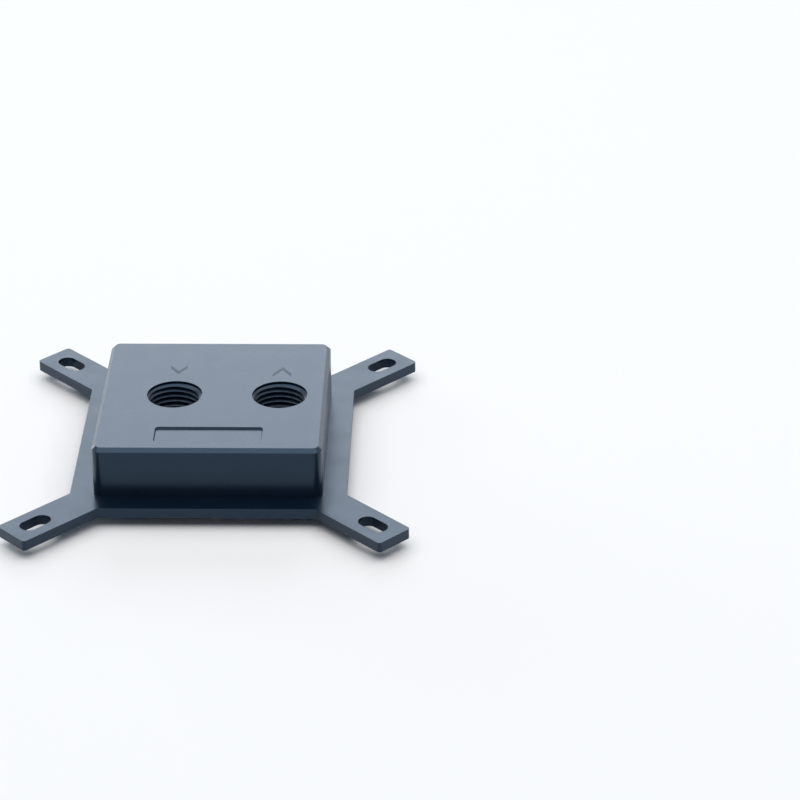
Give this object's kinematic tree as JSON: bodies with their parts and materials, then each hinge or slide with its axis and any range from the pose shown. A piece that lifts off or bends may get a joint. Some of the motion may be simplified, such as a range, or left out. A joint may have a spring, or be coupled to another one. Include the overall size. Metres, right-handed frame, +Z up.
{
  "type": "cpu water block",
  "caption": "Square liquid cooling block with two threaded ports on top, a finned cold plate below and an X-shaped slotted bracket.",
  "frame": {"origin": "centre of the contact face under the cold plate, which is also the bottom centre of the bounding box", "axes": "+Z up out of the ports, +X from the inlet port to the outlet port, -Y the front edge with the name panel"},
  "size_m": [0.094, 0.094, 0.0176],
  "materials": {
    "cover_anodised": "satin black anodised",
    "bracket_coated": "satin black coating",
    "copper": "lapped copper",
    "stainless_sheet": "rolled",
    "acetal": "machined black",
    "seal_rubber": "moulded",
    "screw_steel": "plain stainless"
  },
  "bodies": {
    "root": {"top_cover": "cover_anodised", "mounting_bracket": "bracket_coated", "cold_plate": "copper", "jet_plate": "stainless_sheet", "flow_guide": "acetal", "jet_gasket": "seal_rubber", "main_seal": "seal_rubber", "cold_plate_screws": "screw_steel", "bracket_screws": "screw_steel"}
  },
  "joints": []
}
